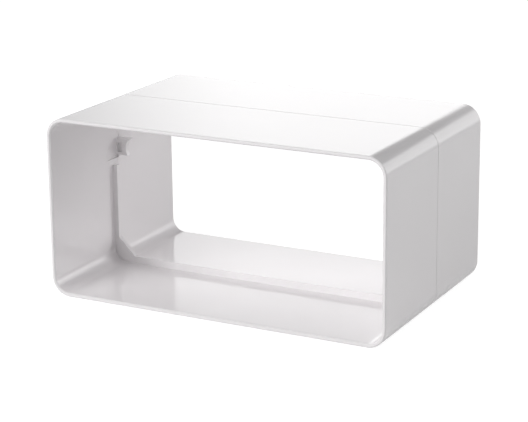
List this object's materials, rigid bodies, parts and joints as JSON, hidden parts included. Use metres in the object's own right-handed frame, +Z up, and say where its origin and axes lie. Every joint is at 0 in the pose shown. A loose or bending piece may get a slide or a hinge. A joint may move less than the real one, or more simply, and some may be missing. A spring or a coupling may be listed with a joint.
{
  "type": "rectangular duct connector",
  "caption": "One-piece plastic sleeve that joins sections of flat rectangular duct end to end, open at both mouths, with an inner stop rib at mid-depth.",
  "frame": {"origin": "on the underside, below the middle of the sleeve", "axes": "+X across the width of the duct, +Y along the duct towards the back mouth, +Z up"},
  "size_m": [0.1134, 0.072, 0.0567],
  "materials": {
    "white_plastic": "gloss"
  },
  "bodies": {
    "root": {"connector_body": "white_plastic"}
  },
  "joints": []
}
